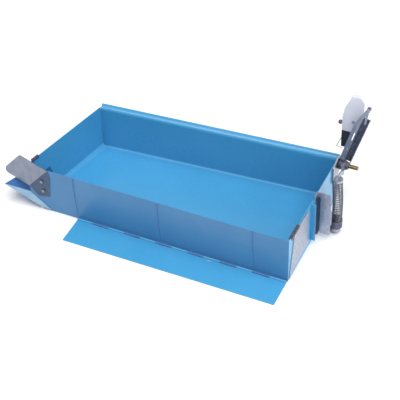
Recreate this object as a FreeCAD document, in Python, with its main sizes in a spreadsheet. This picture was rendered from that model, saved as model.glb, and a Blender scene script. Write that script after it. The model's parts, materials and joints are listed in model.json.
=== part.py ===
import FreeCAD, Part
import math
import os
import re
import Sketcher

# A sheet-steel trough with a drop apron along its front, a pouring spout at its left front corner
# and a sprung hand lever at its right rear corner. Millimetres, +Z up, +X along the trough to the
# lever end, +Y to the back. The origin is the middle of the trough's underside.

os.makedirs("parts", exist_ok=True)
Vector = FreeCAD.Vector
doc = FreeCAD.newDocument("trough")
sheet = doc.addObject("Spreadsheet::Sheet", "Sizes")

SIZES = {
    # trough
    "tub_half": 450, "tub_front": 215, "left_width": 396, "right_width": 464, "wall_top": 185,
    "plate": 2, "corner_reach": 90, "rim_lip": 18, "rim_drop": 12, "rim_sheet": 1.2,
    "roll_radius": 17,
    "rib_radius": 1.5, "rivet_radius": 3.5,
    # spout at the left front corner
    "cheek_top_x": 6, "cheek_low_x": 85, "cheek_low_z": 93, "cheek_foot_x": 82, "cheek_foot_z": 65,
    "near_flare": 20, "tip_along": 85, "tip_out": 49, "fold_along": 56, "fold_out": 19,
    "spout_width": 115, "lip_back": 34, "far_rise": 24, "outlet_top": 100,
    # bent plate on the cheek
    "tab_thick": 3, "tab_length": 143, "tab_bend": 24.8, "tab_corner": 14, "bolt_radius": 4,
    "bolt_play": 0.2, "head_radius": 7, "head_height": 5, "nub_radius": 6, "nub_tall": 8,
    # apron and its hinge
    "apron_left": 346, "apron_right": 449, "apron_depth": 121, "hinge_radius": 3.9, "pin_radius": 1.7,
    "pin_play": 0.05, "hinge_clear": 2, "leaf_thick": 1.2, "knuckle_pitch": 122, "knuckle_gap": 0.6,
    # pivot and lever
    "pivot_y": "right_width - tub_front - 12", "pivot_z": "wall_top - 15", "bracket_thick": 6,
    "shaft_radius": 8.5, "stub_radius": 7.75, "stub_start": "tub_half + 44", "shaft_end": "tub_half + 78",
    "shaft_play": 0.05, "hub_radius": 19, "hub_start": "tub_half + 11", "hub_length": 15,
    "crank_thick": 5, "crank_out": 32, "shoe_tall": 9, "crank_reach": 155, "crank_rise": 80,
    "nut_length": 10, "washer_thick": 1.8,
    "arm_x": "tub_half + 30", "arm_lean": 16.5, "arm_wide": 29, "arm_deep": 16, "arm_sheet": 3,
    "arm_start": 21, "arm_length": 212, "stay_thick": 3, "knuckle_x": "arm_x + 74",
    "knuckle_z": "pivot_z + 273", "knuckle_radius": 7.5,
    "cover_left": "arm_x - 25", "cover_wide": 76, "cover_base": "pivot_z + 141", "cover_tall": 154,
    "cover_front": "pivot_y + 14", "cover_deep": 16, "cover_wall": 2,
    "grip_wide": 31, "grip_tall": 72, "grip_deep": 24, "knob_radius": 8, "knob_z": "cover_base + 27",
    "stem_radius": 3, "stem_length": 26, "wire_radius": 1.3, "bail_z": "cover_base - 43", "bail_reach": 46,
    # spring and the plates at the right end
    "spring_x": "tub_half + 60", "spring_y": "pivot_y - crank_reach", "spring_radius": 18.5,
    "spring_wire": 4.5, "spring_base": 29, "spring_top": "pivot_z + crank_rise - 9 - shoe_tall",
    "cup_wall": 3.5, "cup_floor": 3, "cup_tall": 30, "end_sheet": 3, "stiffener_y": -12,
    "stiffener_width": 26,
    "stiffener_depth": 18, "hanger_out": 18, "hanger_y": "spring_y - 46",
    "spring_plate_x": "tub_half + 17", "spring_plate_wide": 38,
}
for row, (alias, number) in enumerate(SIZES.items(), start=1):
    sheet.set(f"A{row}", alias)
    sheet.set(f"B{row}", f"={number}")
    sheet.setAlias(f"B{row}", alias)
doc.recompute()

parts = []


def size(alias):
    """The number that a cell of the sheet holds."""
    return float(sheet.get(alias))


def bound(words):
    """An expression in the sheet's aliases, with each alias given its sheet's name."""
    return re.sub(r"[a-z]\w*", lambda word: f"Sizes.{word[0]}" if word[0] in SIZES else word[0], str(words))


def worked(words):
    """The number that an expression in the sheet's aliases comes to now."""
    sheet.set("D1", f"={words}")
    sheet.recompute()
    number = sheet.get("D1")
    return float(getattr(number, "Value", number))


def keep(piece, label):
    piece.Label = label
    parts.append(piece)
    return piece


def plane_of(body, role):
    return next(item for item in body.Origin.OriginFeatures if item.Role == role)


PLANES = {"X": "YZ_Plane", "Y": "XZ_Plane", "Z": "XY_Plane"}


def sketch_on(body, axis, start, thick):
    """A sketch square to an axis, at a slab's face that the pad leaves from."""
    sketch = body.newObject("Sketcher::SketchObject", body.Name + "_outline")
    sketch.AttachmentSupport = [(plane_of(body, PLANES[axis]), "")]
    sketch.MapMode = "FlatFace"
    offset = f"-(({start}) + ({thick}))" if axis == "Y" else f"{start}"
    sketch.setExpression("AttachmentOffset.Base.z", bound(offset))
    return sketch


def draw_outline(sketch, corners):
    """A closed outline whose corners are each tied to the sheet by two distances."""
    first = sketch.GeometryCount
    places = [Vector(worked(across), worked(up), 0) for across, up in corners]
    count = len(corners)
    for index in range(count):
        sketch.addGeometry(Part.LineSegment(places[index], places[(index + 1) % count]))
    for index in range(count):
        line = first + index
        after = first + (index + 1) % count
        sketch.addConstraint(Sketcher.Constraint("Coincident", line, 2, after, 1))
        for kind, number, words in (("DistanceX", places[index].x, corners[index][0]),
                                    ("DistanceY", places[index].y, corners[index][1])):
            place = sketch.addConstraint(Sketcher.Constraint(kind, -1, 1, line, 1, number))
            sketch.setExpression(f"Constraints[{place}]", bound(words))


def draw_circle(sketch, across, up, radius):
    """A circle whose centre and radius are tied to the sheet."""
    centre = Vector(worked(across), worked(up), 0)
    ring = sketch.addGeometry(Part.Circle(centre, Vector(0, 0, 1), worked(radius)))
    for kind, words in (("DistanceX", across), ("DistanceY", up)):
        number = centre.x if kind == "DistanceX" else centre.y
        place = sketch.addConstraint(Sketcher.Constraint(kind, -1, 1, ring, 3, number))
        sketch.setExpression(f"Constraints[{place}]", bound(words))
    place = sketch.addConstraint(Sketcher.Constraint("Radius", ring, worked(radius)))
    sketch.setExpression(f"Constraints[{place}]", bound(radius))


def drill(body, axis, centre, radius, start, depth):
    """Cuts a round hole along an axis, from start to start + depth."""
    sketch = sketch_on(body, axis, f"({start}) + ({depth})", "0")
    draw_circle(sketch, centre[0], centre[1], radius)
    hole = body.newObject("PartDesign::Pocket", body.Name + "_hole")
    hole.Profile = sketch
    hole.setExpression("Length", bound(depth))
    body.Tip = hole


def pad(body, sketch, thick):
    solid = body.newObject("PartDesign::Pad", body.Name + "_pad")
    solid.Profile = sketch
    solid.setExpression("Length", bound(thick))
    body.Tip = solid
    return solid


def slab(label, axis, corners, start, thick, holes=()):
    """A flat piece square to an axis, from start to start + thick along it."""
    body = doc.addObject("PartDesign::Body", label)
    sketch = sketch_on(body, axis, start, thick)
    draw_outline(sketch, corners)
    for across, up, radius in holes:
        draw_circle(sketch, across, up, radius)
    pad(body, sketch, thick)
    return keep(body, label)


def rod(label, axis, centre, radius, start, length, bore=None):
    """A round bar or tube along an axis."""
    body = doc.addObject("PartDesign::Body", label)
    sketch = sketch_on(body, axis, start, length)
    draw_circle(sketch, centre[0], centre[1], radius)
    if bore:
        draw_circle(sketch, centre[0], centre[1], bore)
    pad(body, sketch, length)
    return keep(body, label)


def rectangle(low_x, low_y, high_x, high_y):
    return [(low_x, low_y), (high_x, low_y), (high_x, high_y), (low_x, high_y)]


def round_corners(body, radius, wanted):
    """Rounds the pad's corner edges that the test picks by their middle points."""
    doc.recompute()
    base = body.Tip
    names = [f"Edge{index + 1}" for index, edge in enumerate(base.Shape.Edges)
             if wanted(edge.CenterOfMass, edge)]
    fillet = body.newObject("PartDesign::Fillet", body.Name + "_corners")
    fillet.Base = (base, names)
    fillet.setExpression("Radius", bound(radius))
    body.Tip = fillet


def panel(label, faces, thick, side):
    """A folded plate of flat faces in any planes, thick towards the side that a direction gives.

    A face shares an edge with the one before it, and a wedge along that edge fills the fold's outer side."""
    leaves, normals = [], []
    for corners in faces:
        face = Part.Face(Part.makePolygon(corners + [corners[0]]))
        normal = (corners[1] - corners[0]).cross(corners[2] - corners[0]).normalize()
        if normal.dot(side) < 0:
            normal = normal * -1
        leaves.append(face.extrude(normal * thick))
        normals.append(normal)
    for before, after, low, high in zip(faces, faces[1:], normals, normals[1:]):
        fold = [corner for corner in before if any((corner - other).Length < 0.01 for other in after)]
        if len(fold) == 2:
            foot, top = fold
            wedge = Part.Face(Part.makePolygon([foot, foot + low * thick, foot + high * thick, foot]))
            leaves.append(wedge.extrude(top - foot))
    piece = doc.addObject("Part::Feature", label)
    piece.Shape = leaves[0] if len(leaves) == 1 else leaves[0].fuse(leaves[1:])
    return keep(piece, label)


def hollow_out(body, wall, wanted):
    """Leaves a wall of even thickness, open at the faces that the test picks by their middles."""
    doc.recompute()
    base = body.Tip
    names = [f"Face{index + 1}" for index, face in enumerate(base.Shape.Faces) if wanted(face.CenterOfMass)]
    shell = body.newObject("PartDesign::Thickness", body.Name + "_shell")
    shell.Base = (base, names)
    shell.setExpression("Value", bound(wall))
    shell.Reversed = True
    body.Tip = shell


def bent_wire(label, points, radius):
    """Round wire along straight runs, with ball joints that round its bends."""
    runs = []
    for first, second in zip(points, points[1:]):
        runs.append(Part.makeCylinder(radius, (second - first).Length, first, second - first))
    bends = [Part.makeSphere(radius, point) for point in points[1:-1]]
    piece = doc.addObject("Part::Feature", label)
    piece.Shape = runs[0].fuse(runs[1:] + bends).removeSplitter()
    return keep(piece, label)


def set_of_pegs(label, axis, places, radius, length):
    """Equal round pegs that share one node: each place is (x, y, z) in the sheet's words."""
    turns = {"X": FreeCAD.Rotation(Vector(0, 1, 0), 90), "Y": FreeCAD.Rotation(Vector(1, 0, 0), -90),
             "Z": FreeCAD.Rotation()}
    pegs = []
    for index, place in enumerate(places):
        peg = doc.addObject("Part::Cylinder", f"{label}_{index + 1}")
        peg.Placement = FreeCAD.Placement(Vector(), turns[axis])
        peg.setExpression("Radius", bound(radius))
        peg.setExpression("Height", bound(length))
        for letter, words in zip("xyz", place):
            peg.setExpression(f"Placement.Base.{letter}", bound(words))
        pegs.append(peg)
    group = doc.addObject("Part::Compound", label)
    group.Links = pegs
    return keep(group, label)


def hexagons(label, places, side, shank):
    """Hexagon heads or nuts on one side of a face square to Y, each with a round shank or a hole."""
    turns = {1: FreeCAD.Rotation(Vector(1, 0, 0), -90), -1: FreeCAD.Rotation(Vector(1, 0, 0), 90)}
    pieces = []
    for index, place in enumerate(places):
        head = doc.addObject("Part::Prism", f"{label}_{index + 1}_head")
        head.Polygon = 6
        head.setExpression("Circumradius", bound("head_radius"))
        head.setExpression("Height", bound("head_height"))
        solids = [head]
        if shank:
            stem = doc.addObject("Part::Cylinder", f"{label}_{index + 1}_stem")
            stem.setExpression("Radius", bound("bolt_radius"))
            stem.setExpression("Height", bound(shank))
            solids.append(stem)
        for solid in solids:
            along = -side if solid is not head else side
            solid.Placement = FreeCAD.Placement(Vector(), turns[along])
            for letter, words in zip("xyz", place):
                solid.setExpression(f"Placement.Base.{letter}", bound(words))
        if shank:
            whole = doc.addObject("Part::MultiFuse", f"{label}_{index + 1}")
            whole.Shapes = solids
            pieces.append(whole)
        else:
            hole = doc.addObject("Part::Cylinder", f"{label}_{index + 1}_hole")
            hole.setExpression("Radius", bound("bolt_radius"))
            hole.setExpression("Height", bound("head_height"))
            hole.Placement = FreeCAD.Placement(Vector(), turns[side])
            for letter, words in zip("xyz", place):
                hole.setExpression(f"Placement.Base.{letter}", bound(words))
            ring = doc.addObject("Part::Cut", f"{label}_{index + 1}")
            ring.Base = head
            ring.Tool = hole
            pieces.append(ring)
    group = doc.addObject("Part::Compound", label)
    group.Links = pieces
    return keep(group, label)


def turned(body, base, axis, angle):
    """Sets a body drawn about its own origin at a place, turned about an axis."""
    body.Placement = FreeCAD.Placement(base, FreeCAD.Rotation(axis, angle))


# ---- Trough ------------------------------------------------------------------------------------

LEFT = "-tub_half"
RIGHT = "tub_half"
FRONT = "-tub_front"
LEFT_BACK = "(left_width - tub_front)"
RIGHT_BACK = "(right_width - tub_front)"
# the left wall runs from the rear corner to the cheek, this far left for each step forward
WALL_SLOPE = "(corner_reach / left_width)"
# the back wall gains this much depth for each step to the right
BACK_SLOPE = "((right_width - left_width) / (2 * tub_half))"
BACK_INNER = f"({RIGHT_BACK} - plate * (sqrt(1 + {BACK_SLOPE} ^ 2) + {BACK_SLOPE}))"
WALL_AT_SPOUT = f"(-tub_half - {WALL_SLOPE} * (left_width - spout_width))"


CLIP_GAP = 1.5  # from the clip to the bent plate


def spout_corners():
    """The spout's corner points, from the slanting lower edge of the cheek."""
    half, front = size("tub_half"), size("tub_front")
    foot = Vector(-half, -front, 0)
    knee = Vector(-half - size("cheek_foot_x"), -front, size("cheek_foot_z"))
    along = (foot - knee).normalize()
    upright = Vector(along.z, 0, -along.x)
    flare = math.radians(size("near_flare"))
    out = upright * math.cos(flare) + Vector(0, -math.sin(flare), 0)
    tip = knee - along * size("tip_along") + out * size("tip_out")
    fold = knee + along * size("fold_along") + out * size("fold_out")
    back = size("spout_width") - front
    width = Vector(size("lip_back"), back - fold.y, size("plate") - fold.z)
    tip_back = tip + width * ((back - tip.y) / width.y)
    return foot, knee, tip, fold, tip_back, fold + width


def tab_corners():
    """The bent plate's fold along the cheek, then its far corners, which lean back over the spout."""
    half, front = size("tub_half"), size("tub_front")
    low = Vector(-half - size("cheek_low_x"), -front, size("cheek_low_z"))
    high = Vector(-half - size("cheek_top_x"), -front, size("wall_top"))
    fold = (high - low).normalize()
    flat = Vector(-1, 0, 0)
    across = flat - fold * flat.dot(fold)
    bend = math.radians(size("tab_bend"))
    outward = flat - across + across * math.cos(bend) + Vector(0, across.Length * math.sin(bend), 0)
    reach = outward * size("tab_length")
    return low, high, high + reach, low + reach


def make_trough():
    foot, knee, tip, fold, tip_back, fold_back = spout_corners()
    half, front = size("tub_half"), size("tub_front")
    inner_front = size("plate") - front
    wall_x = worked(WALL_AT_SPOUT)
    corners = [(-half, size("left_width") - front), (wall_x, fold_back.y), (fold_back.x, fold_back.y),
               (-half, inner_front), (half, inner_front), (half, size("right_width") - front)]
    panel("floor_panel", [[Vector(x, y, 0) for x, y in corners]], size("plate"), Vector(0, 0, 1))
    slab("front_panel", "Y",
         [(LEFT, "0"), (RIGHT, "0"), (RIGHT, "wall_top"), ("-tub_half - cheek_top_x", "wall_top"),
          ("-tub_half - cheek_low_x", "cheek_low_z"), ("-tub_half - cheek_foot_x", "cheek_foot_z")],
         FRONT, "plate", holes=[(x, z, "bolt_radius + bolt_play") for x, z in TAB_BOLTS])
    slab("right_end_panel", "X",
         rectangle(f"{FRONT} + plate", "plate", BACK_INNER, "wall_top"),
         "tub_half - plate", "plate")

    length = math.hypot(2 * size("tub_half"), size("right_width") - size("left_width"))
    angle = math.degrees(math.atan2(size("right_width") - size("left_width"), 2 * size("tub_half")))
    wide = "sqrt((2 * tub_half) ^ 2 + (right_width - left_width) ^ 2)"
    back = slab("back_panel", "X",
                [("-plate", "plate"), ("0", "plate"), ("0", "wall_top - plate"),
                 ("rim_lip", "wall_top - plate"),
                 ("rim_lip", "wall_top"), ("-plate", "wall_top")], "0", f"{wide} - plate * {BACK_SLOPE}")
    inner = (0, size("wall_top") - size("plate"))
    outer = (-size("plate"), size("wall_top"))
    for (depth, height), radius in ((outer, "roll_radius"), (inner, "roll_radius - plate")):
        round_corners(back, radius, lambda middle, edge: edge.Length > 100
                      and math.hypot(middle.y - depth, middle.z - height) < 0.01)
    corner = Vector(-size("tub_half"), size("left_width") - size("tub_front"), 0)
    turned(back, corner, Vector(0, 0, 1), angle)
    lip = slab("back_rim", "X",
               [("rim_lip - 7", "wall_top"), ("rim_lip", "wall_top"), ("rim_lip", "wall_top - rim_drop"),
                ("rim_lip + rim_sheet", "wall_top - rim_drop"), ("rim_lip + rim_sheet", "wall_top + 1"),
                ("rim_lip - 7", "wall_top + 1")],
               "0", wide)
    turned(lip, corner, Vector(0, 0, 1), angle)
    places = [0.085, 0.34, 0.60, 0.93]
    rivets = set_of_pegs("rim_rivets", "Z",
                         [(f"{share} * {wide}", "rim_lip - 3", "wall_top + 1") for share in places],
                         "rivet_radius", "2.5")
    turned(rivets, corner, Vector(0, 0, 1), angle)

    reach = math.degrees(math.atan2(size("corner_reach"), size("left_width")))
    thick = size("plate")
    along = Vector(-size("corner_reach"), -size("left_width"), 0).normalize()
    low, high, far_high, _ = tab_corners()
    facing = (high - low).cross(far_high - high)
    clear = 0.4

    def meets_tab(height):
        start = corner + Vector(0, 0, height)
        return (low - start).dot(facing) / along.dot(facing) - clear

    back_end = thick + 0.3
    lean = size("corner_reach") / size("left_width")
    open_at = (size("left_width") - size("spout_width")) / -along.y - thick * lean
    top, outlet = size("wall_top"), size("outlet_top")
    profile = [(back_end, thick), (open_at, thick), (open_at, outlet), (meets_tab(outlet), outlet),
               (meets_tab(top), top), (back_end, top)]
    panel("left_end_panel", [[corner + along * step + Vector(0, 0, height) for step, height in profile]],
          thick,
          Vector(1, 0, 0))
    clip = slab("rim_clip", "Y",
                [("-3.3", "wall_top - 10"), ("-0.3", "wall_top - 10"), ("-0.3", "wall_top + 0.3"),
                 ("plate + 0.3", "wall_top + 0.3"), ("plate + 0.3", "wall_top - 7"),
                 ("plate + 3.3", "wall_top - 7"), ("plate + 3.3", "wall_top + 3.3"),
                 ("-3.3", "wall_top + 3.3")],
                f"{CLIP_GAP - meets_tab(top)}", "34")
    turned(clip, corner, Vector(0, 0, 1), -reach)
    ribs = ["-0.79", "-0.07", "0.71"]
    set_of_pegs("front_ribs", "Z", [(f"{share} * tub_half", f"{FRONT} - rib_radius", "14") for share in ribs],
                "rib_radius", "wall_top - 16")


# ---- Spout -------------------------------------------------------------------------------------

def make_spout():
    foot, knee, tip, fold, tip_back, fold_back = spout_corners()
    thick = size("plate")
    panel("spout_near_panel", [[foot, knee, tip, fold]], thick, Vector(0, -1, 0))
    inner_foot = foot + Vector(0, size("plate"), size("plate"))
    panel("spout_floor", [[fold, tip, tip_back, fold_back], [inner_foot, fold, fold_back]], thick,
          Vector(0, 0, -1))
    seat = Vector(0, 0, 0.1)
    wall_top = Vector(worked(WALL_AT_SPOUT), fold_back.y, size("outlet_top"))
    panel("spout_far_panel", [[fold_back + seat, tip_back + seat, tip_back + Vector(0, 0, size("far_rise")),
                               wall_top]],
          thick, Vector(0, -1, 0))


# ---- Fittings at the left end ------------------------------------------------------------------

TAB_BOLTS = [("-tub_half - 31", "130"), ("-tub_half - 27", "89")]


def make_left_fittings():
    half, front, thick = size("tub_half"), size("tub_front"), size("tab_thick")
    low, high, far_high, far_low = tab_corners()
    leg = [low, high, Vector(-half + 2, -front, 150), Vector(-half - 4, -front, 66),
           Vector(-half - 48, -front, 58)]
    piece = panel("tab_bracket", [leg, [low, high, far_high, far_low]], thick, Vector(0, -1, 0))
    far = [corner for corner in piece.Shape.Edges if corner.Length < thick + 0.01
           and any((corner.CenterOfMass - point).Length < thick for point in (far_high, far_low))]
    bent = piece.Shape.makeFillet(size("tab_corner"), far)
    for across, up in TAB_BOLTS:
        centre = Vector(worked(across), -front - 2 * thick, worked(up))
        bent = bent.cut(Part.makeCylinder(size("bolt_radius") + size("bolt_play"), 4 * thick, centre,
                                          Vector(0, 1, 0)))
    piece.Shape = bent
    outer = f"{FRONT} - tab_thick"
    hexagons("tab_bolts", [(x, outer, z) for x, z in TAB_BOLTS], -1, "tab_thick + plate + 8")
    hexagons("tab_nuts", [(x, f"{FRONT} + plate", z) for x, z in TAB_BOLTS], 1, None)

    slab("spout_bracket", "Y",
         [("-tub_half - 54", "nub_tall"), ("-tub_half - 38", "nub_tall"),
          ("-tub_half - 38", "nub_tall + 2.3"),
          ("-tub_half - 50", "nub_tall + 5.3"), ("-tub_half - 54", "nub_tall + 5.8")], f"{FRONT} + 0.5", "3")
    rod("spout_nub", "Z", ("-tub_half - 42", f"{FRONT} + 4"), "nub_radius", "0", "nub_tall")


# ---- Apron and its hinge -----------------------------------------------------------------------

HINGE_Y = f"({FRONT} - hinge_clear - hinge_radius)"


def pattern_along_x(body, step, count):
    """Repeats the body's last feature along X."""
    row = body.newObject("PartDesign::LinearPattern", body.Name + "_row")
    row.Originals = [body.Tip]
    row.Direction = (next(i for i in body.Origin.OriginFeatures if i.Role == "X_Axis"), [""])
    row.Occurrences = count
    row.setExpression("Length", bound(f"({step}) * {count - 1}"))
    body.Tip = row


def add_row(body, start, count, draw):
    """Repeats what draw sketches, half a hinge pitch long less the running gap, along the hinge."""
    length = "knuckle_pitch / 2 - knuckle_gap"
    sketch = sketch_on(body, "X", start, length)
    draw(sketch)
    pad(body, sketch, length)
    doc.recompute()
    pattern_along_x(body, "knuckle_pitch", count)


def draw_knuckle(sketch):
    draw_circle(sketch, HINGE_Y, "hinge_radius", "hinge_radius")
    draw_circle(sketch, HINGE_Y, "hinge_radius", "pin_radius + pin_play")


def make_apron():
    back = f"({HINGE_Y} - hinge_radius - 0.5)"
    apron = doc.addObject("PartDesign::Body", "apron_sheet")
    sketch = sketch_on(apron, "Z", "0", "plate")
    draw_outline(sketch, rectangle("-apron_left", f"{FRONT} - apron_depth", "apron_right", back))
    draw_outline(sketch, rectangle("apron_right - 291", f"{back} - 5", "apron_right - 277", f"{back} - 1.5"))
    pad(apron, sketch, "plate")
    keep(apron, "apron_sheet")
    start = "-apron_left + knuckle_gap"
    add_row(apron, start, 7, lambda sketch: draw_outline(sketch,
                                                         rectangle(f"{back} - 1", "0", HINGE_Y, "plate")))
    add_row(apron, start, 7, draw_knuckle)
    leaf = slab("hinge_leaf", "Y", rectangle("-apron_left", "0", "apron_right", "2 * hinge_radius"),
                f"{FRONT} - leaf_thick", "leaf_thick")
    start = "-apron_left + knuckle_pitch / 2 + knuckle_gap"
    add_row(leaf, start, 6, lambda sketch: draw_outline(
        sketch, rectangle(f"{FRONT} - hinge_clear - 0.6", "2", f"{FRONT} - 0.2", "2 * hinge_radius - 2")))
    add_row(leaf, start, 6, draw_knuckle)
    rod("hinge_pin", "X", (HINGE_Y, "hinge_radius"), "pin_radius", "-apron_left - 1",
        "apron_left + apron_right + 2")


# ---- Fittings at the right end -----------------------------------------------------------------

def make_right_fittings():
    slab("end_plate", "X",
         [(f"{FRONT} + 10", "6"), (f"{FRONT} + 36", "6"), (f"{FRONT} + 36", "14"), (f"{FRONT} + 76", "14"),
          (f"{FRONT} + 76", "24"), (f"{FRONT} + 172", "24"), (f"{FRONT} + 178", "32"),
          (f"{FRONT} + 178", "wall_top - 6"),
          (f"{FRONT} + 49", "wall_top - 6")], RIGHT, "end_sheet")
    slab("rim_tab", "Y",
         [("tub_half - 5.5", "wall_top - 5"), ("tub_half - 2.3", "wall_top - 5"),
          ("tub_half - 2.3", "wall_top + 0.3"), ("tub_half + 3.3", "wall_top + 0.3"),
          ("tub_half + 3.3", "wall_top - 6"), ("tub_half + 6", "wall_top - 6"),
          ("tub_half + 6", "wall_top + 3"),
          ("tub_half - 5.5", "wall_top + 3")], f"{FRONT} + 14", "72")
    far = "stiffener_y + stiffener_width"
    slab("end_stiffener", "Z",
         [(RIGHT, "stiffener_y"), ("tub_half + stiffener_depth", "stiffener_y"),
          ("tub_half + stiffener_depth", "stiffener_y + plate"), ("tub_half + plate", "stiffener_y + plate"),
          ("tub_half + plate", far), (RIGHT, far)], "18", "wall_top - 20")
    for name, gap in (("hanger_front", "0"), ("hanger_back", "9")):
        slab(name, "Y", [(RIGHT, "4"), ("tub_half + 8", "4"), ("tub_half + hanger_out", "34"),
                         ("tub_half + hanger_out", "wall_top - 6"), (RIGHT, "wall_top - 6")],
             f"hanger_y + {gap}", "3")
    right = "spring_plate_x + spring_plate_wide"
    plate = slab("spring_plate", "Y",
                 [("spring_plate_x", "18"), (right, "18"), (right, "62"), (f"{right} + 4", "70"),
                  (f"{right} + 4", "126"),
                  (right, "134"), (right, "200"), ("spring_plate_x", "200")], "hanger_y - 4", "4")
    round_corners(plate, "8", lambda middle, edge: abs(middle.z - 109) > 90 and edge.Length < 5)
    slab("plate_bracket", "Z",
         [("tub_half + end_sheet", "hanger_y - 28"), ("tub_half + 6", "hanger_y - 28"),
          ("tub_half + 6", "hanger_y - 7"),
          ("spring_plate_x + 20", "hanger_y - 7"), ("spring_plate_x + 20", "hanger_y - 4"),
          ("tub_half + end_sheet", "hanger_y - 4")],
         "wall_top + 1", "20")
    slab("seat_bracket", "Z",
         rectangle("tub_half", "spring_y - 12", "spring_x + 10", "spring_y + 12"), "3", "3")
    rod("spring_cap", "Z", ("spring_x", "spring_y"), "spring_radius - 3", "6", "spring_base - cup_floor - 6")
    cup_radius = "spring_radius + cup_wall"
    cup = rod("spring_cup", "Z", ("spring_x", "spring_y"), cup_radius, "spring_base - cup_floor", "cup_floor")
    sketch = sketch_on(cup, "Z", "spring_base", "cup_tall")
    draw_circle(sketch, "spring_x", "spring_y", cup_radius)
    draw_circle(sketch, "spring_x", "spring_y", "spring_radius + 0.3")
    pad(cup, sketch, "cup_tall")
    rod("coil_spring", "Z", ("spring_x", "spring_y"), "spring_radius", "spring_base + 0.2",
        "spring_top - spring_base - 0.4", "spring_radius - spring_wire")
    bracket = slab("pivot_bracket", "X",
                   [("pivot_y - 48", "pivot_z - 60"), ("pivot_y - 10", "pivot_z - 60"),
                    ("pivot_y + 24", "pivot_z - 26"),
                    ("pivot_y + 24", "pivot_z + 20"), ("pivot_y + 10", "pivot_z + 30"),
                    ("pivot_y - 48", "pivot_z + 12")],
                   RIGHT, "bracket_thick")
    round_corners(bracket, "6", lambda middle, edge: abs(edge.Length - size("bracket_thick")) < 0.01)
    across = ("pivot_y", "pivot_z")
    shaft = rod("pivot_shaft", "X", across, "shaft_radius", "tub_half + bracket_thick",
                "stub_start - tub_half - bracket_thick")
    stub = sketch_on(shaft, "X", "stub_start", "shaft_end - stub_start")
    draw_circle(stub, *across, "stub_radius")
    pad(shaft, stub, "shaft_end - stub_start")
    rod("rubber_washer", "X", across, "hub_radius - 1", "tub_half + bracket_thick",
        "hub_start - tub_half - bracket_thick - 0.3",
        "shaft_radius")
    after = "(hub_start + hub_length + crank_thick)"
    rod("flat_washer", "X", across, "hub_radius - 2", f"{after} + 0.3", "washer_thick", "shaft_radius")
    nut = doc.addObject("Part::Prism", "shaft_nut_blank")
    nut.Polygon = 6
    nut.setExpression("Circumradius", bound("hub_radius - 2"))
    nut.setExpression("Height", bound("nut_length"))
    hole = doc.addObject("Part::Cylinder", "shaft_nut_hole")
    hole.setExpression("Radius", bound("shaft_radius"))
    hole.setExpression("Height", bound("nut_length"))
    for piece in (nut, hole):
        piece.Placement = FreeCAD.Placement(Vector(), FreeCAD.Rotation(Vector(0, 1, 0), 90))
        for letter, words in zip("xyz", (f"{after} + 0.3 + washer_thick", *across)):
            piece.setExpression(f"Placement.Base.{letter}", bound(words))
    cut = doc.addObject("Part::Cut", "shaft_nut")
    cut.Base = nut
    cut.Tool = hole
    keep(cut, "shaft_nut")


# ---- Lever -------------------------------------------------------------------------------------

KNOB_Y = "(cover_front + cover_deep / 2)"


def cover_outline():
    base_z, top = "cover_base", "cover_base + cover_tall"
    right = "cover_left + cover_wide"
    return [("cover_left", base_z), (f"{right} - 16", base_z), (right, f"{base_z} + 26"),
            (right, f"{top} - 18"),
            (f"{right} - 14", top), ("cover_left + 30", f"{top} - 3"), ("cover_left + 6", f"{top} - 60"),
            ("cover_left", f"{top} - 100")]


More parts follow.
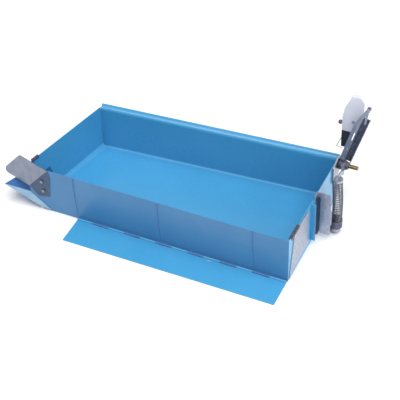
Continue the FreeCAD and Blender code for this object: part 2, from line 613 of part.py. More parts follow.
def make_lever():
    across = ("pivot_y", "pivot_z")
    bore = "shaft_radius + shaft_play"
    rod("lever_hub", "X", across, "hub_radius", "hub_start", "hub_length", bore)
    pivot = Vector(size("hub_start") + size("hub_length"), size("pivot_y"), size("pivot_z"))
    out, reach, rise = size("crank_out"), size("crank_reach"), size("crank_rise")
    boss = [(-37, 12.6), (-37, 30.6), (-6, 20), (10, 18), (20, 6), (20, -8), (10, -18), (-8, -19), (-18, -10)]
    step_y, low_z = 48 - reach, 0.584 * (reach - 48)
    leaves = [[Vector(0, depth, height) for depth, height in boss],
              [Vector(0, -37, 12.6), Vector(0, -37, 30.6), Vector(out, step_y, low_z + 9),
               Vector(out, step_y, low_z - 9)],
              [Vector(out, step_y, low_z - 9), Vector(out, step_y, low_z + 9),
               Vector(out, 18 - reach, rise + 9),
               Vector(out, -18 - reach, rise + 9), Vector(out, -18 - reach, rise - 9),
               Vector(out, 18 - reach, rise - 9)]]
    crank = panel("crank_plate", [[pivot + corner for corner in leaf] for leaf in leaves],
                  size("crank_thick"),
                  Vector(1, 0, 0))
    hole = Part.makeCylinder(size("shaft_radius") + size("shaft_play"), 30, pivot - Vector(5, 0, 0),
                             Vector(1, 0, 0))
    crank.Shape = crank.Shape.cut(hole)
    rod("spring_shoe", "Z", ("spring_x", "spring_y"), "spring_radius - 2", "spring_top", "shoe_tall")

    base = Vector(size("arm_x"), size("pivot_y"), size("pivot_z"))
    wide, deep = "arm_wide / 2", "arm_deep / 2"
    arm = slab("lever_channel", "Z",
               [(f"-{wide}", f"-{deep}"), (f"arm_sheet - {wide}", f"-{deep}"),
                (f"arm_sheet - {wide}", f"{deep} - arm_sheet"),
                (f"{wide} - arm_sheet", f"{deep} - arm_sheet"), (f"{wide} - arm_sheet", f"-{deep}"),
                (wide, f"-{deep}"),
                (wide, deep), (f"-{wide}", deep)], "arm_start", "arm_length")
    turned(arm, base, Vector(0, 1, 0), size("arm_lean"))
    slab("arm_gusset", "Y", [("arm_x - 16", "pivot_z + hub_radius - 1.6"),
                             ("arm_x - 4", "pivot_z + hub_radius - 1.6"),
                             ("arm_x + 40", "pivot_z + 96"), ("arm_x + 12", "pivot_z + 96")],
         f"pivot_y + {deep}", "4")
    front = f"(pivot_y - {deep} - stay_thick)"
    slab("stay_bar", "Y",
         [("arm_x - 19", "pivot_z + 34"), ("arm_x - 8", "pivot_z + 30"), ("arm_x + 38.5", "pivot_z + 195"),
          ("knuckle_x + 6", "knuckle_z - 2"), ("knuckle_x - 5", "knuckle_z + 4"),
          ("arm_x + 27.5", "pivot_z + 201")], front, "stay_thick")
    slab("short_link", "Y",
         [("knuckle_x - 14", "knuckle_z - 66"), ("knuckle_x - 7", "knuckle_z - 66"),
          ("knuckle_x + 4", "knuckle_z + 2"),
          ("knuckle_x - 4", "knuckle_z + 2")], f"pivot_y - {deep}", "stay_thick")
    rod("knuckle_bolt", "Y", ("knuckle_x", "knuckle_z"), "7.5", f"pivot_y - {deep} + stay_thick", "8")
    rod("knuckle_head", "Y", ("knuckle_x", "knuckle_z"), "7.5", f"{front} - 6", "6")
    rod("stay_bolt", "Y", ("arm_x - 8", "pivot_z + 42"), "5", f"pivot_y - {deep}", "arm_deep")

    base_z = "cover_base"
    cover = slab("lever_cover", "Y", cover_outline(), "cover_front", "cover_deep")
    round_corners(cover, "7", lambda middle, edge: abs(edge.Length - size("cover_deep")) < 0.01)
    hollow_out(cover, "cover_wall", lambda middle: middle.y > size("cover_front") + size("cover_deep") - 0.01)
    drill(cover, "X", (KNOB_Y, "knob_z"), "stem_radius + pin_play", "cover_left - 1", "cover_wall + 3")
    slab("cover_back", "Y", cover_outline(), "cover_front + cover_deep", "cover_wall")
    set_of_pegs("cover_bolts", "Y", [("cover_left + 66", "pivot_y + arm_deep / 2", f"{base_z} + 19"),
                                     ("cover_left + 71", "pivot_y + arm_deep / 2", f"{base_z} + 60")],
                "3.5", "cover_front - pivot_y - arm_deep / 2")
    rod("cover_pin", "Y", ("cover_left + 41", f"{base_z} + 47"), "5", "cover_front - 4", "4")
    grip = slab("grip_block", "Y", rectangle("cover_left", f"{base_z} - grip_tall", "cover_left + grip_wide",
                                             base_z),
         "cover_front", "grip_deep")
    knob = rod("pull_knob", "X", (KNOB_Y, "knob_z"), "knob_radius", "cover_left - 16", "12")
    stem = sketch_on(knob, "X", "cover_left - 5", "stem_length")
    draw_circle(stem, KNOB_Y, "knob_z", "stem_radius")
    pad(knob, stem, "stem_length")
    left, front, up = size("cover_left") - 3, size("cover_front") + 9, size("bail_z")
    reach = front - size("bail_reach")
    bent_wire("wire_bail", [Vector(left + 30, front, up), Vector(left, front, up), Vector(left, reach, up),
                            Vector(left + 22, reach, up - 3)], size("wire_radius"))
    drill(grip, "X", ("cover_front + 9", "bail_z"), "wire_radius + pin_play", "cover_left - 1", "29")


make_trough()
make_spout()
make_left_fittings()
make_apron()
make_right_fittings()
make_lever()
doc.recompute()


def check_and_write():
    """Stops if anything failed, then writes one file for each sub-part."""
    for item in doc.Objects:
        if "Invalid" in item.State or "Error" in item.State:
            raise RuntimeError(f"{item.Label} has failed: {item.State}")
    for piece in parts:
        if piece.Shape.isNull() or not piece.Shape.isValid():
            raise RuntimeError(f"{piece.Label} has no valid shape")
    for piece in parts:
        piece.Shape.exportStep(f"parts/{piece.Label}.step")


check_and_write()
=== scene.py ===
import json
import math

import bmesh
import bpy
from mathutils import Matrix, Vector


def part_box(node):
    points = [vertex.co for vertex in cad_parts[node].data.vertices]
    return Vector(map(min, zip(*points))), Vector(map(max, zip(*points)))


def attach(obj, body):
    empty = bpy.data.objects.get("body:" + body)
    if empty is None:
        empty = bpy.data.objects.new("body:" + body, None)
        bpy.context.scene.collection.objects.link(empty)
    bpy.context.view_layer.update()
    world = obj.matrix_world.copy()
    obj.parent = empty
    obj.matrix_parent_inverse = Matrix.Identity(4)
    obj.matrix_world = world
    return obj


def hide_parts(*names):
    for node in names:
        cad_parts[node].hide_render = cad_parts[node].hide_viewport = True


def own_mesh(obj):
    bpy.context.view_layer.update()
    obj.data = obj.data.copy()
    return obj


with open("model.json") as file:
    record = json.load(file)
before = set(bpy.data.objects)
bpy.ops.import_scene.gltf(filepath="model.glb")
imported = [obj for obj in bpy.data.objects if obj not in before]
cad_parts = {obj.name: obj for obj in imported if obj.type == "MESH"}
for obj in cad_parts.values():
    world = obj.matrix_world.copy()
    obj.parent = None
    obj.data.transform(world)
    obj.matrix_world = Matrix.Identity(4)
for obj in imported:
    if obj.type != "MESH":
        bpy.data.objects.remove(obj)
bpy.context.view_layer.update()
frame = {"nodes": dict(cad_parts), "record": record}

# A shallow blue enamelled sheet-steel trough with a drop apron, a corner spout and a sprung hand lever.
# Metres; +X along the trough to the lever, +Y to the back, +Z up.

MM = 0.001
SLOT_OF = {part["node"]: part["material_slot"] for part in frame["record"]["subparts"]}
BODY_OF = {node: body for body, nodes in frame["record"]["behaviour"]["bodies"].items() for node in nodes}
X, Y, Z = Vector((1, 0, 0)), Vector((0, 1, 0)), Vector((0, 0, 1))


# ---- Finishes ----------------------------------------------------------------------------------

def linear(code):
    """An sRGB hex colour as linear light."""
    channels = [int(code[place:place + 2], 16) / 255 for place in (0, 2, 4)]
    return (*(c / 12.92 if c <= 0.04045 else ((c + 0.055) / 1.055) ** 2.4 for c in channels), 1.0)


def add(tree, kind, inputs=None, **settings):
    """Adds a shader node: settings are its properties, inputs are values or the outputs that feed it."""
    made = tree.nodes.new("ShaderNode" + kind)
    for name, value in settings.items():
        setattr(made, name, value)
    for name, value in (inputs or {}).items():
        if isinstance(value, bpy.types.NodeSocket):
            tree.links.new(value, made.inputs[name])
        else:
            made.inputs[name].default_value = value
    return made


def per_metre(millimetres):
    """The noise scale whose patches are this wide."""
    return 1 / (millimetres * MM)


def make_finish(name, hues, cloud, grain, depth, rough, metallic=0.0, stretch=(1, 1, 1), edge_wear_and_highlight=None,
                specks=None, **shader):
    """A finish: clouds of colour between two hues, grain in its roughness and relief, edges lightened as wear
    and as painted highlight, and specks.

    cloud and grain are patch sizes and depth is the relief's height, all in millimetres; rough is the
    lowest and highest roughness; edge_wear_and_highlight is (hue, width in mm, strength) of the pale edges,
    part wear and part painted highlight; specks is (hue, size in mm, share)."""
    material = bpy.data.materials.new(name)
    material.use_nodes = True
    tree = material.node_tree
    tree.nodes.clear()
    place = add(tree, "TexCoord").outputs["Object"]
    along = add(tree, "Mapping", {"Vector": place, "Scale": stretch}).outputs["Vector"]
    clouds = add(tree, "TexNoise", {"Vector": place, "Scale": per_metre(cloud), "Detail": 4.0,
                                    "Roughness": 0.6})
    share = add(tree, "MapRange", {"Value": clouds.outputs["Fac"], "From Min": 0.3, "From Max": 0.7})
    colour = add(tree, "Mix", {0: share.outputs["Result"], 6: linear(hues[0]), 7: linear(hues[1])},
                 data_type="RGBA").outputs[2]
    grains = add(tree, "TexNoise", {"Vector": along, "Scale": per_metre(grain), "Detail": 5.0,
                                    "Roughness": 0.55})
    if specks:
        hue, width, level = specks
        cells = add(tree, "TexNoise", {"Vector": place, "Scale": per_metre(width), "Detail": 6.0,
                                       "Roughness": 0.7})
        spots = add(tree, "MapRange", {"Value": cells.outputs["Fac"], "From Min": level,
                                       "From Max": level + 0.06})
        colour = add(tree, "Mix", {0: spots.outputs["Result"], 6: colour, 7: linear(hue)},
                     data_type="RGBA").outputs[2]
    # edges turned towards a pale hue: part wear and part painted highlight, as if they catch the light
    if edge_wear_and_highlight:
        hue, width, strength = edge_wear_and_highlight
        rounded = add(tree, "Bevel", {"Radius": width * MM}, samples=4)
        flat = add(tree, "NewGeometry")
        facing = add(tree, "VectorMath", {0: rounded.outputs["Normal"], 1: flat.outputs["Normal"]},
                     operation="DOT_PRODUCT")
        edge = add(tree, "MapRange", {"Value": facing.outputs["Value"], "From Min": 0.995, "From Max": 0.86,
                                      "To Min": 0.0, "To Max": strength})
        wear_and_highlight_share = add(tree, "Math", {0: edge.outputs["Result"], 1: share.outputs["Result"]},
                     operation="MULTIPLY")
        colour = add(tree, "Mix", {0: wear_and_highlight_share.outputs["Value"], 6: colour, 7: linear(hue)},
                     data_type="RGBA").outputs[2]
    roughness = add(tree, "MapRange", {"Value": grains.outputs["Fac"], "From Min": 0.3, "From Max": 0.7,
                                       "To Min": rough[0], "To Max": rough[1]})
    relief = add(tree, "Bump", {"Height": grains.outputs["Fac"], "Distance": depth * MM, "Strength": 1.0})
    surface = add(tree, "BsdfPrincipled", {"Base Color": colour, "Roughness": roughness.outputs["Result"],
                                           "Normal": relief.outputs["Normal"], "Metallic": metallic,
                                           **shader})
    add(tree, "OutputMaterial", {"Surface": surface.outputs["BSDF"]})
    return material


FINISHES = {
    # sprayed gloss enamel: a deep even blue with a wet sheen, faint orange peel and pale edges, part thin
    # paint and part painted highlight
    "blue_paint": make_finish("gloss_blue_enamel", ("3D94C4", "4599CA"), 260, 2.5, 0.012, (0.24, 0.34),
                              edge_wear_and_highlight=("B4D6E8", 0.8, 0.5), specks=("7DBBDC", 3.0, 0.72), IOR=1.5,
                              **{"Coat Weight": 0.35, "Coat Roughness": 0.12}),
    # brushed stainless sheet: grey metal with fine straight scratches along the sheet
    "stainless": make_finish("brushed_stainless_sheet", ("7F8799", "9298A9"), 30, 6, 0.01, (0.28, 0.46), 0.9,
                             stretch=(1, 0.04, 1), edge_wear_and_highlight=("E2E4EA", 0.6, 0.7)),
    # the same brushed stainless made a dark bluish grey that keeps the straight scratches: a painted dark
    # reflection
    "leg_painted_reflection": make_finish("stainless_sheet_painted_dark_reflection", ("42526B", "51617A"), 30, 6, 0.01, (0.4, 0.55), 0.6,
                          stretch=(1, 0.04, 1), edge_wear_and_highlight=("C9CEDA", 0.6, 0.7)),
    # the trough's front wall made greyer and a little violet: painted shade and painted reflection
    "front_wall_painted_shade": make_finish("blue_enamel_painted_front_shade", ("3C78AA", "4681B0"), 200, 2.5, 0.012, (0.3, 0.4),
                           edge_wear_and_highlight=("9DBBD8", 0.8, 0.5), specks=("7FA9CE", 3.0, 0.7), IOR=1.5),
    # the enamel made milky blue and duller: a painted sheen on the spout's near panel
    "spout_band_painted_sheen": make_finish("blue_enamel_painted_sheen", ("7DA3BF", "92B2CB"), 40, 2.0, 0.015, (0.3, 0.42),
                           edge_wear_and_highlight=("C4D6E4", 0.8, 0.5), specks=("5F97C4", 4.0, 0.66), IOR=1.5),
    # a deep dull blue: painted shadow on the outlet's floor under the bent plate
    "spout_floor_painted_shadow": make_finish("blue_enamel_painted_shadow", ("2A5C98", "3568A4"), 30, 2.0, 0.02, (0.4, 0.55), IOR=1.5,
                          specks=("23456B", 5.0, 0.62)),
    # the same gloss enamel run into the corners, with no edges to wear
    "fillet": make_finish("gloss_blue_enamel_fillet", ("3D94C4", "4599CA"), 260, 2.5, 0.012, (0.3, 0.4),
                          IOR=1.5),
    # a dull deep blue for the pressed creases and the hinge line: painted shade
    "crease": make_finish("blue_enamel_painted_crease_shade", ("3A6CA4", "457AB0"), 20, 2.0, 0.02, (0.45, 0.6), IOR=1.5),
    # bright zinc plate over bar and plate: bluish grey, cloudy, with soft reflections
    "galvanised": make_finish("bright_zinc_plated_steel", ("959BAB", "B8BCC8"), 9, 3, 0.02, (0.3, 0.48), 0.85,
                              edge_wear_and_highlight=("F0F2F6", 0.6, 0.6), specks=("8C93A3", 4.0, 0.64)),
    # phosphated and oiled steel: dark slate, dull, with bright edges, part rubbed and part painted highlight
    "dark_steel": make_finish("phosphated_steel", ("4E5160", "6C7082"), 12, 1.5, 0.02, (0.38, 0.6), 0.75,
                              edge_wear_and_highlight=("A5A8B2", 0.5, 0.7), specks=("6B655F", 3.0, 0.66)),
    # yellow chromate over zinc: brassy with grey and pinkish clouds
    "yellow_zinc": make_finish("yellow_chromate_zinc", ("6E5A38", "98845A"), 6, 1.5, 0.01, (0.24, 0.4), 1.0,
                               edge_wear_and_highlight=("E8DEC0", 0.5, 0.7), specks=("8A8F86", 3.0, 0.6)),
    # drawn spring wire: dark grey metal with drawing lines and a film of oil
    "spring_steel": make_finish("oiled_spring_wire", ("5A5C66", "94969E"), 10, 1.0, 0.01, (0.26, 0.44), 0.95,
                                specks=("4A463F", 4.0, 0.6)),
    # moulded ABS: pale lavender grey with a fine spark-eroded texture
    "pale_cover": make_finish("moulded_pale_abs", ("D2D4E2", "DCDEE8"), 60, 0.9, 0.012, (0.38, 0.5),
                              edge_wear_and_highlight=("E8E9F2", 0.8, 0.5), IOR=1.53),
    # nitrile rubber: near black and matt
    "black_rubber": make_finish("nitrile_rubber", ("17171A", "232327"), 8, 0.8, 0.02, (0.62, 0.8), IOR=1.52),
    # moulded nylon: black with a satin face and greyed edges, part wear and part painted highlight
    "black_plastic": make_finish("moulded_black_nylon", ("1F1F24", "2C2C33"), 15, 1.0, 0.015, (0.4, 0.55),
                                 edge_wear_and_highlight=("70727C", 0.6, 0.6), IOR=1.53),
    # natural nylon: milky and slightly soft looking
    "pale_nub": make_finish("natural_nylon", ("C2C4C8", "D4D5D6"), 8, 1.0, 0.01, (0.4, 0.55), IOR=1.53),
}
for node, slot in SLOT_OF.items():
    shown = frame["nodes"][node].data.materials
    for place in range(len(shown)):
        shown[place] = FINISHES[slot]


# ---- Making pieces -----------------------------------------------------------------------------

def place_piece(name, shape, body, slot, stands_for=(), crease=32, finish=None):
    """Makes a bmesh into a piece that rides on a body: normals out, smooth but for its creases."""
    bmesh.ops.recalc_face_normals(shape, faces=shape.faces)
    mesh = bpy.data.meshes.new(name)
    shape.to_mesh(mesh)
    shape.free()
    mesh.shade_smooth()
    mesh.set_sharp_from_angle(angle=math.radians(crease))
    mesh.materials.append(FINISHES[finish or slot])
    piece = bpy.data.objects.new(name, mesh)
    bpy.context.scene.collection.objects.link(piece)
    piece.modifiers.new("even_flats", "WEIGHTED_NORMAL").keep_sharp = True
    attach(piece, body)
    if stands_for:
        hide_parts(*stands_for)
    return piece


def sharp_edges(shape, degrees=30):
    """The edges where two faces meet at more than an angle."""
    return [edge for edge in shape.edges
            if len(edge.link_faces) == 2 and edge.calc_face_angle(0) > math.radians(degrees)]


def round_off(shape, edges, width, steps=2):
    """Rounds edges by a width in millimetres."""
    bmesh.ops.bevel(shape, geom=edges, offset=width * MM, offset_type="OFFSET", segments=steps, profile=0.5,
                    affect="EDGES", material=-1, clamp_overlap=True)


def copy_of(node):
    """A CAD node's mesh with its doubles merged and its flats made whole."""
    shape = bmesh.new()
    shape.from_mesh(frame["nodes"][node].data)
    bmesh.ops.remove_doubles(shape, verts=shape.verts, dist=0.01 * MM)
    bmesh.ops.dissolve_limit(shape, angle_limit=math.radians(0.6), verts=shape.verts, edges=shape.edges)
    return shape


def soften(node, width, steps=2):
    """Stands for a CAD node with its edges rounded."""
    shape = copy_of(node)
    round_off(shape, sharp_edges(shape), width, steps)
    return place_piece(node + "_finished", shape, BODY_OF[node], SLOT_OF[node], [node])


def refinish(piece, finish, wanted):
    """Gives the faces that the test picks a finish of their own."""
    piece.data.materials.append(FINISHES[finish])
    for face in piece.data.polygons:
        if wanted(face):
            face.material_index = 1


def turning(base, axis):
    """The matrix that takes +Z at the origin to an axis at a base point."""
    return Matrix.Translation(base) @ axis.to_track_quat("Z", "Y").to_matrix().to_4x4()


def join(shape, made):
    """Adds one bmesh to another."""
    mesh = bpy.data.meshes.new("part")
    made.to_mesh(mesh)
    made.free()
    shape.from_mesh(mesh)
    bpy.data.meshes.remove(mesh)


def spin_profile(shape, profile, base, axis, steps=40):
    """Turns a profile of (radius, height) in mm about an axis; one that starts and ends on it is closed."""
    made = bmesh.new()
    points = [made.verts.new((radius * MM, 0, height * MM)) for radius, height in profile]
    edges = [made.edges.new(pair) for pair in zip(points, points[1:])]
    bmesh.ops.spin(made, geom=points + edges, cent=(0, 0, 0), axis=(0, 0, 1), angle=math.tau, steps=steps,
                   use_merge=True)
    bmesh.ops.remove_doubles(made, verts=made.verts, dist=0.001 * MM)
    made.transform(turning(base, axis))
    join(shape, made)


def turned(name, profile, base, axis, body, slot, stands_for=(), steps=40, **more):
    """A piece turned about an axis from a profile of (radius, height) in mm."""
    shape = bmesh.new()
    spin_profile(shape, profile, base, axis, steps)
    return place_piece(name, shape, body, slot, stands_for, **more)


def add_hexagon(shape, base, axis, radius, height, turn=0.0, chamfer=0.9):
    """A hexagon of a nut or bolt head, its far rim chamfered; radius is to its corners."""
    made = bmesh.new()
    bmesh.ops.create_cone(made, cap_ends=True, segments=6, radius1=radius * MM, radius2=radius * MM,
                          depth=height * MM)
    standing = Matrix.Translation((0, 0, height * MM / 2)) @ Matrix.Rotation(turn, 4, "Z")
    bmesh.ops.transform(made, matrix=standing, verts=made.verts)
    round_off(made, [e for e in made.edges if abs((e.verts[0].co - e.verts[1].co).z) > 1e-4], 0.5)
    rim = [e for e in made.edges if min(v.co.z for v in e.verts) > (height - 0.01) * MM]
    round_off(made, rim, chamfer, 1)
    made.transform(turning(base, axis))
    join(shape, made)


def ball_profile(radius, start, end, count=14):
    """Points of a ball's outline between two angles from its foot, in degrees."""
    turns = [math.radians(start + (end - start) * step / count) for step in range(count + 1)]
    return [(radius * math.sin(turn), radius - radius * math.cos(turn)) for turn in turns]


def islands(node):
    """The middle and size of each separate solid of a node."""
    shape = copy_of(node)
    left, found = set(shape.verts), []
    while left:
        front = [left.pop()]
        whole = list(front)
        while front:
            vertex = front.pop()
            near = {edge.other_vert(vertex) for edge in vertex.link_edges} & left
            left -= near
            front += near
            whole += near
        low = Vector([min(v.co[k] for v in whole) for k in range(3)])
        high = Vector([max(v.co[k] for v in whole) for k in range(3)])
        found.append(((low + high) / 2, high - low))
    shape.free()
    return sorted(found, key=lambda item: tuple(item[0]))


# ---- Trough ------------------------------------------------------------------------------------

for panel in ("floor_panel", "front_panel", "back_panel", "left_end_panel", "right_end_panel", "apron_sheet",
              "hinge_leaf", "spout_floor", "spout_near_panel", "spout_far_panel", "back_rim"):
    soften(panel, 0.5)
soften("end_stiffener", 0.8)
# these pieces take blues of their own: painted shade on the front wall, a painted sheen on the spout band,
# painted shadow on the spout floor and painted shade along the hinge leaf
for piece, finish in (("front_panel", "front_wall_painted_shade"), ("spout_near_panel", "spout_band_painted_sheen"), ("spout_floor", "spout_floor_painted_shadow"),
                      ("hinge_leaf", "crease")):
    bpy.data.objects[piece + "_finished"].data.materials[0] = FINISHES[finish]
soften("spout_nub", 1.5)

RIVET_RADIUS, RIVET_RISE = 3.5, 2.5
arc = [math.radians(turn) for turn in range(0, 91, 15)]
dome = [(0, 0)] + [(RIVET_RADIUS * math.cos(turn), RIVET_RISE * math.sin(turn)) for turn in arc]
shape = bmesh.new()
for middle, size in islands("rim_rivets"):
    spin_profile(shape, dome, middle - Z * size.z / 2, Z, 24)
place_piece("rim_rivet_domes", shape, "trough", "blue_paint", ["rim_rivets"])

# each front crease is pressed sharp at the top, then fades and leans to the lever end at its foot
LEAN = 9 * MM
shape = bmesh.new()
for middle, size in islands("front_ribs"):
    made = bmesh.new()
    bmesh.ops.create_cube(made, size=1)
    for share in (0.15, 0.5, 0.85):
        bmesh.ops.bisect_plane(made, geom=made.verts[:] + made.edges[:] + made.faces[:], dist=1e-6,
                               plane_co=(0, 0, share - 0.5), plane_no=(0, 0, 1))
    for vertex in made.verts:
        share, right, front = vertex.co.z + 0.5, vertex.co.x > 0, vertex.co.y < 0
        half = size.x * (0.35 + 0.6 * share) / 1.6
        across = (0.4 if right else -0.3) if front else (1 if right else -1)
        proud = size.y * (0.3 + 0.65 * share) if front else 0
        vertex.co = middle + Vector((across * half + LEAN * (1 - share) ** 2, size.y / 2 - proud,
                                     size.z * (share - 0.5)))
    join(shape, made)
# the creases take the darker blue: painted shade in the creases
place_piece("front_creases", shape, "trough", "blue_paint", ["front_ribs"], crease=60, finish="crease")


def add_cove(shape, start, end, across, radius, steps=8):
    """A hollow fillet of a radius in mm along a floor corner; across leads from the corner over the floor."""
    turns = [math.radians(90 * step / steps) for step in range(steps + 1)]
    outline = [(0, 0)] + [(radius * (1 - math.sin(turn)), radius * (1 - math.cos(turn))) for turn in turns]
    points = [shape.verts.new(start + (across * over + Z * rise) * MM) for over, rise in outline]
    face = shape.faces.new(points)
    moved = bmesh.ops.extrude_face_region(shape, geom=[face], use_keep_orig=True)["geom"]
    bmesh.ops.translate(shape, vec=end - start, verts=[v for v in moved if isinstance(v, bmesh.types.BMVert)])


# the floor turns up into the walls with a soft hollow
SHEET = 2 * MM
TUB_LEFT, TUB_RIGHT, TUB_FRONT, BACK_AT_LEFT, BACK_AT_RIGHT = -0.45, 0.448, -0.213, 0.179, 0.2466
left_back, left_front = Vector((-0.4499, BACK_AT_LEFT, SHEET)), Vector((-0.5172, -0.1, SHEET))
back_left, back_right = Vector((TUB_LEFT, BACK_AT_LEFT, SHEET)), Vector((TUB_RIGHT, BACK_AT_RIGHT, SHEET))
front_left, front_right = Vector((TUB_LEFT, TUB_FRONT, SHEET)), Vector((TUB_RIGHT, TUB_FRONT, SHEET))
off_left_wall = Z.cross((left_front - left_back).normalized())
shape = bmesh.new()
add_cove(shape, left_back, left_front, off_left_wall, 22)
add_cove(shape, back_left, back_right, -Y, 8)
add_cove(shape, front_left, front_right, Y, 6)
add_cove(shape, front_right, back_right, -X, 8)
place_piece("floor_coves", shape, "trough", "blue_paint", crease=60, finish="fillet")


def add_bead(shape, start, end, width):
    """A run of weld: overlapping ripples along a line."""
    run = end - start
    count = max(4, int(run.length / (width * 0.55 * MM)))
    for k in range(count):
        made = bmesh.ops.create_uvsphere(shape, u_segments=8, v_segments=5, radius=width / 2 * MM)["verts"]
        bmesh.ops.translate(shape, vec=start + run * (k + 0.5) / count, verts=made)


BEAD_WIDTH, BEAD_FOOT = 3, 6 * MM
shape = bmesh.new()
for x, y, top in ((0.4505, -0.2135, 0.180), (0.4505, 0.2475, 0.160), (-0.4515, 0.1795, 0.165)):
    add_bead(shape, Vector((x, y, BEAD_FOOT)), Vector((x, y, top)), BEAD_WIDTH)
place_piece("corner_welds", shape, "trough", "blue_paint")

# ---- Plates ------------------------------------------------------------------------------------

PLATES = ("end_plate", "spring_plate", "plate_bracket", "seat_bracket", "pivot_bracket", "spout_bracket",
          "rim_clip", "rim_tab", "hanger_front", "hanger_back", "crank_plate", "lever_channel", "arm_gusset",
          "stay_bar", "short_link", "cover_back", "rubber_washer", "flat_washer", "spring_shoe", "spring_cap",
          "spring_cup", "tab_bracket")
finished = {plate: soften(plate, 0.6) for plate in PLATES}

# the channel's web takes the dark steel finish inside and its flanges stay bright: painted shade in the
# recess
WEB_FACE = 0.2315
refinish(finished["lever_channel"], "dark_steel",
         lambda face: face.normal.y < -0.9 and face.center.y > WEB_FACE)

# the bent plate's leg gets the darker stainless as a painted dark reflection, and the leaf beyond the fold
# keeps the plain finish
FOLD_FOOT, FOLD_RISE, FOLD_LEAN = -0.4989, 0.05, 0.2
refinish(finished["tab_bracket"], "leg_painted_reflection",
         lambda face: face.center.x > FOLD_FOOT + FOLD_LEAN * (face.center.z - FOLD_RISE)
         and abs(face.normal.x) < 0.3)

# ---- Bolts, nuts and the pivot -----------------------------------------------------------------

HEAD_RADIUS, HEAD_HEIGHT, SHANK, CORNER_UP = 7, 5, 4, math.radians(30)
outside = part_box("tab_bracket")[0].y
tip = [(SHANK - 0.5 * (step % 2), 11.6 + 0.6 * step) for step in range(1, 4)]
shape = bmesh.new()
for middle, _ in islands("tab_bolts"):
    face = Vector((middle.x, outside, middle.z))
    add_hexagon(shape, face, -Y, HEAD_RADIUS, HEAD_HEIGHT, turn=CORNER_UP)
    spin_profile(shape, [(0, 0), (SHANK, 0), (SHANK, 11)] + tip + [(0, 13)], face, Y, 20)
place_piece("tab_bolts_finished", shape, "trough", "stainless", ["tab_bolts"])
shape = bmesh.new()
for middle, size in islands("tab_nuts"):
    add_hexagon(shape, middle - Y * size.y / 2, Y, HEAD_RADIUS, HEAD_HEIGHT, turn=CORNER_UP)
place_piece("tab_nuts_finished", shape, "trough", "stainless", ["tab_nuts"])

# the pivot: a seat, a slimmer stub with a groove, and a fine thread to its chamfered end
SEAT, STUB, GROOVE, END = 8.5, 7.75, 7.0, 72
low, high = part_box("pivot_shaft")
base = Vector((low.x, (low.y + high.y) / 2, (low.z + high.z) / 2))
thread = [(STUB - 0.35 * (step % 2), 58 + 0.6 * step) for step in range(1, 20)]
shaft = [(0, 0), (SEAT - 0.3, 0), (SEAT, 0.3), (SEAT, 38), (STUB, 38), (STUB, 44), (GROOVE, 44.6),
         (GROOVE, 46.4), (STUB, 47)] + thread + [(STUB, END - 2), (6.4, END), (0, END)]
turned("pivot_shaft_turned", shaft, base, X, BODY_OF["pivot_shaft"], "yellow_zinc", ["pivot_shaft"])

HUB, HUB_BORE, HUB_LONG = 19, 9, 15
hub = [(HUB_BORE, 0), (HUB - 0.6, 0), (HUB, 0.8), (HUB, 5.5), (HUB - 0.8, 6), (HUB - 0.8, 7), (HUB, 7.5),
       (HUB, HUB_LONG - 0.8), (HUB - 0.8, HUB_LONG), (HUB_BORE, HUB_LONG)]
# the hub takes the dark steel finish in place of its zinc plate: painted shade
turned("lever_hub_turned", hub, Vector((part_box("lever_hub")[0].x, base.y, base.z)), X, BODY_OF["lever_hub"],
       "galvanised", ["lever_hub"], finish="dark_steel")

NUT_BORE, FLANGE, NUT_RADIUS = 7.8, 17, 15.2
foot = Vector((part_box("shaft_nut")[0].x, base.y, base.z))
shape = bmesh.new()
add_hexagon(shape, foot + X * 2 * MM, X, NUT_RADIUS, 8, chamfer=1.5)
spin_profile(shape, [(NUT_BORE, 0), (FLANGE, 0), (FLANGE, 1.2), (15, 2.4), (NUT_BORE, 2.4)], foot, X, 40)
place_piece("shaft_nut_finished", shape, BODY_OF["shaft_nut"], "dark_steel", ["shaft_nut"])

for node in ("stay_bolt", "knuckle_bolt", "knuckle_head", "cover_pin"):
    soften(node, 0.7)

BALL, BALL_FOOT = 8, 21
low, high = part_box("pull_knob")
ball = [(out, rise + BALL_FOOT) for out, rise in ball_profile(BALL, 35, 180)]
turned("pull_knob_ball", [(0, 0), (4, 0), (4, 14), (5.2, 14.5), (5.2, 19), (4.2, 20)] + ball,
       Vector((high.x, (low.y + high.y) / 2, (low.z + high.z) / 2)), -X, BODY_OF["pull_knob"],
       SLOT_OF["pull_knob"], ["pull_knob"])

# ---- Cover and grip ----------------------------------------------------------------------------

soften("lever_cover", 3.5, steps=4)
low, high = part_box("grip_block")
soften("grip_block", 2, steps=3)
RIB = Matrix.Diagonal((24 * MM, 2 * MM, 3 * MM, 1))
shape = bmesh.new()
for share in (0.14, 0.26, 0.38, 0.5, 0.62):
    middle = Vector(((low.x + high.x) / 2, low.y, low.z + (high.z - low.z) * share))
    made = bmesh.ops.create_cube(shape, size=1)["verts"]
    bmesh.ops.transform(shape, matrix=Matrix.Translation(middle) @ RIB, verts=made)
round_off(shape, shape.edges[:], 0.6)
place_piece("grip_ribs", shape, BODY_OF["grip_block"], "black_plastic")

# ---- Coil spring -------------------------------------------------------------------------------

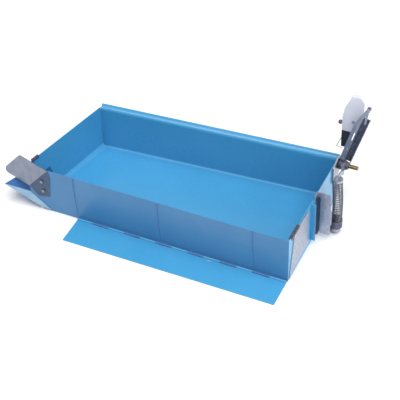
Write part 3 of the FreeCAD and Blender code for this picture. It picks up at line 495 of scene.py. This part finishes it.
low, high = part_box("coil_spring")
TURNS, STEPS_A_TURN, WIRE = 24, 22, 3.8 * MM
SPREAD, BOW, LEAN_BACK = 0.06, 4 * MM, 3 * MM
centre = (low + high) / 2
wire_path = (high.x - low.x) / 2 - WIRE / 2
shape = bmesh.new()
ring = bmesh.ops.create_circle(shape, cap_ends=False, segments=12, radius=WIRE / 2)["verts"]
bmesh.ops.rotate(shape, cent=(0, 0, 0), matrix=Matrix.Rotation(math.radians(90), 3, "X"), verts=ring)
bmesh.ops.translate(shape, vec=(wire_path, 0, 0), verts=ring)
rise = high.z - low.z - WIRE
bmesh.ops.spin(shape, geom=shape.verts[:] + shape.edges[:], cent=(0, 0, 0), axis=(0, 0, 1),
               dvec=(0, 0, rise / (TURNS * STEPS_A_TURN)), angle=TURNS * math.tau, steps=TURNS * STEPS_A_TURN)
bmesh.ops.holes_fill(shape, edges=[edge for edge in shape.edges if edge.is_boundary], sides=0)
for vertex in shape.verts:
    share = min(max(vertex.co.z / rise, 0), 1)
    # the coils lie closer at the foot and open out towards the top, and the column bows
    vertex.co.z += rise * SPREAD * (share ** 3 - share)
    bow = BOW * math.sin(math.pi * share) - LEAN_BACK * share
    vertex.co += Vector((centre.x + bow, centre.y, low.z + WIRE / 2))
spring = place_piece("coil_spring_wire", shape, "trough", "spring_steel", ["coil_spring"], crease=60)
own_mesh(spring)

# ---- Floor, lights and camera ------------------------------------------------------------------

ground = bmesh.new()
bmesh.ops.create_grid(ground, x_segments=8, y_segments=8, size=6.0)
mesh = bpy.data.meshes.new("studio_floor")
ground.to_mesh(mesh)
ground.free()
floor = bpy.data.objects.new("studio_floor", mesh)
floor.location.z = -0.001
bpy.context.scene.collection.objects.link(floor)
mesh.materials.append(make_finish("matt_white_floor", ("F4F4F4", "FAFAFA"), 900, 20, 0.02, (0.8, 0.9)))

world = bpy.data.worlds.new("soft_studio")
bpy.context.scene.world = world
world.use_nodes = True
world.node_tree.nodes["Background"].inputs["Color"].default_value = (1, 1, 1, 1)
world.node_tree.nodes["Background"].inputs["Strength"].default_value = 0.45


def add_light(name, place, aim, size, power):
    """A square soft light at a place, facing its aim."""
    data = bpy.data.lights.new(name, "AREA")
    data.size, data.energy = size, power
    lamp = bpy.data.objects.new(name, data)
    lamp.location = place
    lamp.rotation_euler = (Vector(aim) - Vector(place)).to_track_quat("-Z", "Y").to_euler()
    bpy.context.scene.collection.objects.link(lamp)


add_light("right_softbox", (3.0, -0.2, 1.4), (0.3, 0, 0.1), 1.6, 34)
add_light("front_softbox", (-0.9, -1.9, 2.9), (0, 0.1, 0.1), 1.3, 26)
sun = bpy.data.lights.new("broad_overhead", "SUN")
sun.energy, sun.angle = 2.1, math.radians(50)
lamp = bpy.data.objects.new("broad_overhead", sun)
lamp.rotation_euler = (math.radians(8), math.radians(12), 0)
bpy.context.scene.collection.objects.link(lamp)

AZIMUTH, ELEVATION, ROLL, DISTANCE = 25.48, 41.83, -1.53, 5.165
around, up = math.radians(AZIMUTH), math.radians(ELEVATION)
backward = Vector((math.sin(around) * math.cos(up), -math.cos(around) * math.cos(up), math.sin(up)))
lens = bpy.data.cameras.new("camera")
lens.lens, lens.sensor_width = 133.64, 36.0
lens.clip_end = 50
camera = bpy.data.objects.new("camera", lens)
camera.rotation_mode = "QUATERNION"
camera.location = Vector((0.056, -0.0575, 0.1)) + backward * DISTANCE
camera.rotation_quaternion = (-backward).to_track_quat("-Z", "Y") @ Matrix.Rotation(
    math.radians(ROLL), 3, "Z").to_quaternion()
bpy.context.scene.collection.objects.link(camera)
bpy.context.scene.camera = camera
bpy.context.scene.view_settings.view_transform = "Standard"
